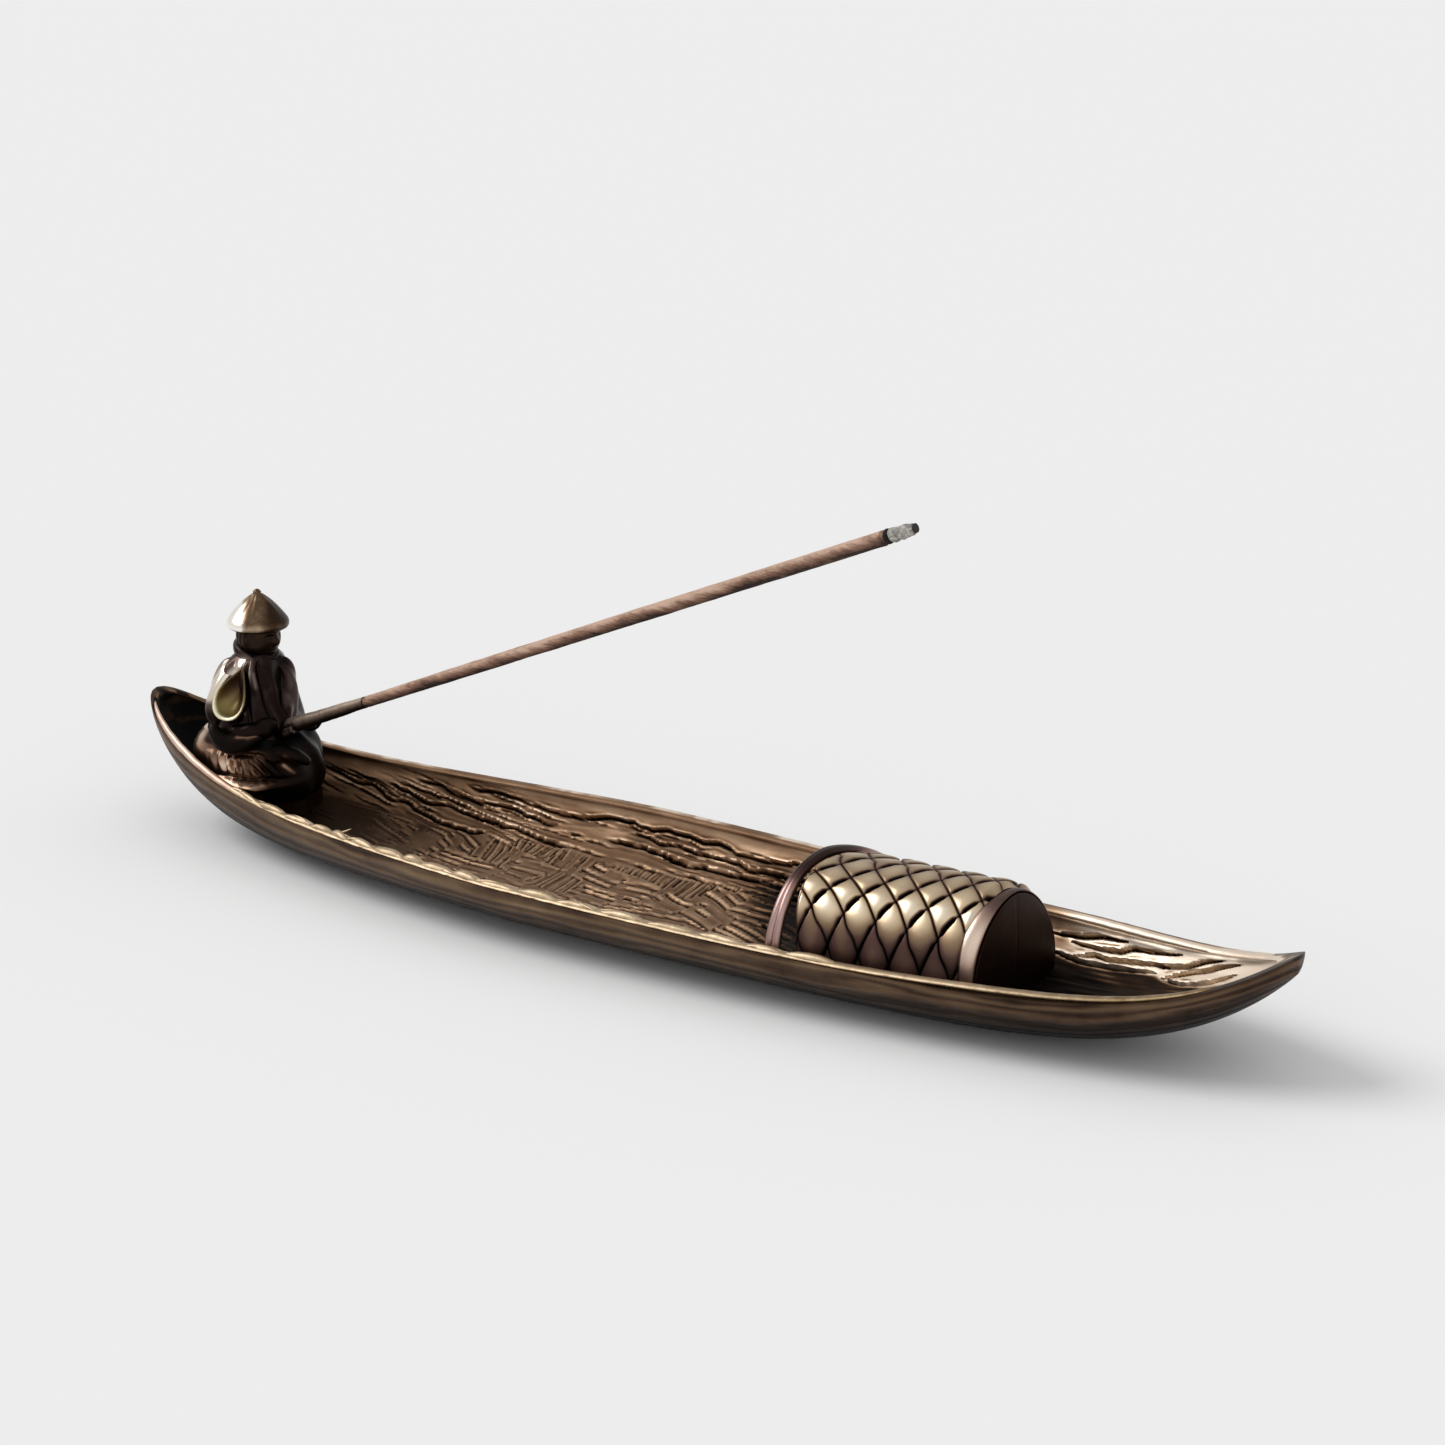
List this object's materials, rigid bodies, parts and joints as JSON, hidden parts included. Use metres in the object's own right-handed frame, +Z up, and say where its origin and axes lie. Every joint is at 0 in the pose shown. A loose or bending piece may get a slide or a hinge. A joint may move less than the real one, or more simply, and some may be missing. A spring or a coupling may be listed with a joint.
{
  "type": "boat-shaped incense stick burner",
  "caption": "Slender bronze river boat with a woven canopy and a seated fisherman whose rod is a slanting incense stick; the open hull catches its ash.",
  "frame": {"origin": "under the middle of the whole object, on the plane of its flat base", "axes": "+X along the hull toward the bow, +Y to the boat's port side, +Z up"},
  "size_m": [0.2498, 0.0538, 0.0841],
  "materials": {
    "antique_bronze": "dark patina, satin",
    "worn_bronze": "patina rubbed back to pale metal on the high points",
    "socket_brass": "dark patina, satin",
    "pin_steel": "plain drawn",
    "bamboo": "split bamboo, unfinished",
    "incense": "pressed wood powder, matt",
    "char": "charred, matt",
    "ash": "loose ash, matt"
  },
  "bodies": {
    "boat": {"boat_hull": "antique_bronze", "starboard_rail": "worn_bronze", "port_rail": "worn_bronze", "canopy_mat": "worn_bronze", "canopy_bow_bulkhead": "antique_bronze", "canopy_aft_bulkhead": "antique_bronze", "canopy_bow_rim": "worn_bronze", "canopy_hoop": "worn_bronze", "stern_seat": "antique_bronze", "figure_dowel": "pin_steel", "robe_skirt": "antique_bronze", "robe_torso": "antique_bronze", "right_sleeve": "antique_bronze", "left_sleeve": "antique_bronze", "right_hand": "antique_bronze", "left_hand": "antique_bronze", "fisherman_head": "antique_bronze", "conical_hat": "worn_bronze", "stick_socket": "socket_brass"},
    "incense_stick": {"bamboo_core": "bamboo", "incense_coat": "incense", "char_ring": "char", "ash_tip": "ash"}
  },
  "joints": [
    {"name": "stick_pull", "type": "slide", "parent": "boat", "child": "incense_stick", "axis": [0.9159, 0, 0.4013], "range_m": [0, 0.03]}
  ]
}
